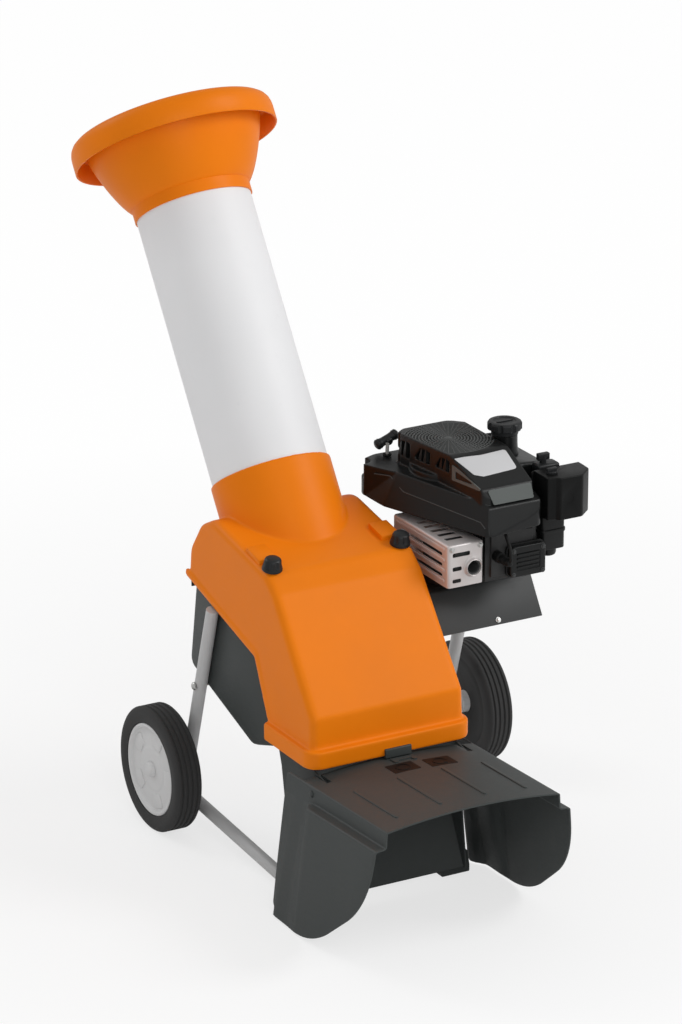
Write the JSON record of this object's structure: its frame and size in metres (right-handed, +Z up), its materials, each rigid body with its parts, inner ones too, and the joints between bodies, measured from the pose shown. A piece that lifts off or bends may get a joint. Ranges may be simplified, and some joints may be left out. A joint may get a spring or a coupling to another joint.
{
  "type": "garden shredder",
  "caption": "Wheeled garden shredder: flared hopper on a leaning tube, tilting hood over a belt-driven cutting disc, small petrol engine and hinged discharge flap.",
  "frame": {"origin": "on the ground, in the middle of the footprint between the flap's front edge and the hopper's rim", "axes": "+Z up, -Y towards the discharge, +X towards the engine"},
  "size_m": [0.76, 1.3414, 1.4194],
  "materials": {
    "orange_plastic": "moulded, satin gloss",
    "silver_tube": "smooth silver-white",
    "dark_grey_plastic": "moulded, fine grain",
    "black_plastic": "moulded, satin",
    "frame_paint": "light grey powder coat",
    "zinc_steel": "zinc plated",
    "blade_steel": "ground",
    "bright_steel": "bright sheet",
    "black_steel": "satin black paint",
    "cast_aluminium": "cast, dull",
    "tyre_rubber": "matt",
    "belt_rubber": "matt",
    "light_grey_plastic": "moulded",
    "filter_foam": "open foam"
  },
  "bodies": {
    "machine": {"left_frame_tube": "frame_paint", "right_frame_tube": "frame_paint", "left_front_foot": "dark_grey_plastic", "right_front_foot": "dark_grey_plastic", "leg_bolt": "zinc_steel", "axle": "zinc_steel", "left_spacer": "zinc_steel", "right_spacer": "zinc_steel", "engine_deck": "black_steel", "lower_housing": "dark_grey_plastic", "discharge_throat": "dark_grey_plastic", "left_flap_pin": "zinc_steel", "right_flap_pin": "zinc_steel", "hood_hinge_pin": "zinc_steel", "left_lock_post": "zinc_steel", "right_lock_post": "zinc_steel", "chamber_ring": "black_steel", "bearing_housing": "cast_aluminium", "upper_bearing": "zinc_steel", "lower_bearing": "zinc_steel", "drive_belt": "belt_rubber", "belt_guard": "dark_grey_plastic", "engine_block": "cast_aluminium", "cylinder_head": "cast_aluminium", "valve_cover": "black_plastic", "spark_plug": "black_plastic", "engine_cover": "black_plastic", "fuel_tank": "black_plastic", "air_filter_base": "black_plastic", "air_filter_cover": "black_plastic", "filter_element": "filter_foam", "carburettor": "cast_aluminium", "muffler": "black_steel", "muffler_guard": "bright_steel"},
    "left_wheel": {"left_tyre": "tyre_rubber", "left_rim": "light_grey_plastic", "left_hub_cap": "light_grey_plastic"},
    "right_wheel": {"right_tyre": "tyre_rubber", "right_rim": "light_grey_plastic", "right_hub_cap": "light_grey_plastic"},
    "flap": {"discharge_flap": "dark_grey_plastic"},
    "hood_unit": {"hood": "orange_plastic", "lip_clip": "black_plastic", "hopper_tube": "silver_tube", "hopper": "orange_plastic", "counter_blade": "blade_steel"},
    "left_lock": {"left_knob": "black_plastic"},
    "right_lock": {"right_knob": "black_plastic"},
    "blade_rotor": {"blade_shaft": "zinc_steel", "blade_disc": "black_steel", "first_knife": "blade_steel", "second_knife": "blade_steel", "disc_bolt": "zinc_steel", "blade_pulley": "cast_aluminium"},
    "crank": {"crankshaft": "zinc_steel", "flywheel": "cast_aluminium", "crank_pulley": "cast_aluminium"},
    "tank_closure": {"fuel_cap": "black_plastic"},
    "filter_catch": {"filter_knob": "black_plastic"},
    "starter": {"starter_grip": "black_plastic"}
  },
  "joints": [
    {"name": "left_wheel_spin", "type": "hinge", "parent": "machine", "child": "left_wheel", "pos_m": [-0.35, 0.14168, 0.125], "axis": [1, 0, 0], "continuous": true},
    {"name": "right_wheel_spin", "type": "hinge", "parent": "machine", "child": "right_wheel", "pos_m": [0.35, 0.14168, 0.125], "axis": [1, 0, 0], "continuous": true},
    {"name": "flap_lift", "type": "hinge", "parent": "machine", "child": "flap", "pos_m": [-0.127, -0.39572, 0.264], "axis": [-1, 0, 0], "range_deg": [0, 55]},
    {"name": "hood_tilt", "type": "hinge", "parent": "machine", "child": "hood_unit", "pos_m": [-0.127, 0.16328, 0.514], "axis": [-1, 0, 0], "range_deg": [0, 55]},
    {"name": "left_knob_turn", "type": "hinge", "parent": "hood_unit", "child": "left_lock", "pos_m": [-0.265, -0.15963, 0.62515], "axis": [0, -0.1829, 0.9831], "range_deg": [0, 720]},
    {"name": "right_knob_turn", "type": "hinge", "parent": "hood_unit", "child": "right_lock", "pos_m": [0.011, -0.15963, 0.62515], "axis": [0, -0.1829, 0.9831], "range_deg": [0, 720]},
    {"name": "blade_spin", "type": "hinge", "parent": "machine", "child": "blade_rotor", "pos_m": [-0.127, -0.04572, 0.5228], "axis": [0, 0, 1], "continuous": true},
    {"name": "crank_spin", "type": "hinge", "parent": "machine", "child": "crank", "pos_m": [0.168, -0.07072, 0.51], "axis": [0, 0, 1], "continuous": true},
    {"name": "fuel_cap_turn", "type": "hinge", "parent": "machine", "child": "tank_closure", "pos_m": [0.27, -0.10972, 0.81], "axis": [0, 0, 1], "range_deg": [0, 180]},
    {"name": "filter_knob_turn", "type": "hinge", "parent": "machine", "child": "filter_catch", "pos_m": [0.2865, -0.25572, 0.745], "axis": [0, 0, 1], "range_deg": [0, 360]},
    {"name": "starter_pull", "type": "slide", "parent": "machine", "child": "starter", "axis": [0, 1, 0], "range_m": [0, 0.55], "stiffness_N_per_m": 30}
  ],
  "couplings": [
    {"joint": "crank_spin", "follows": "blade_spin", "ratio": 1.3684}
  ]
}
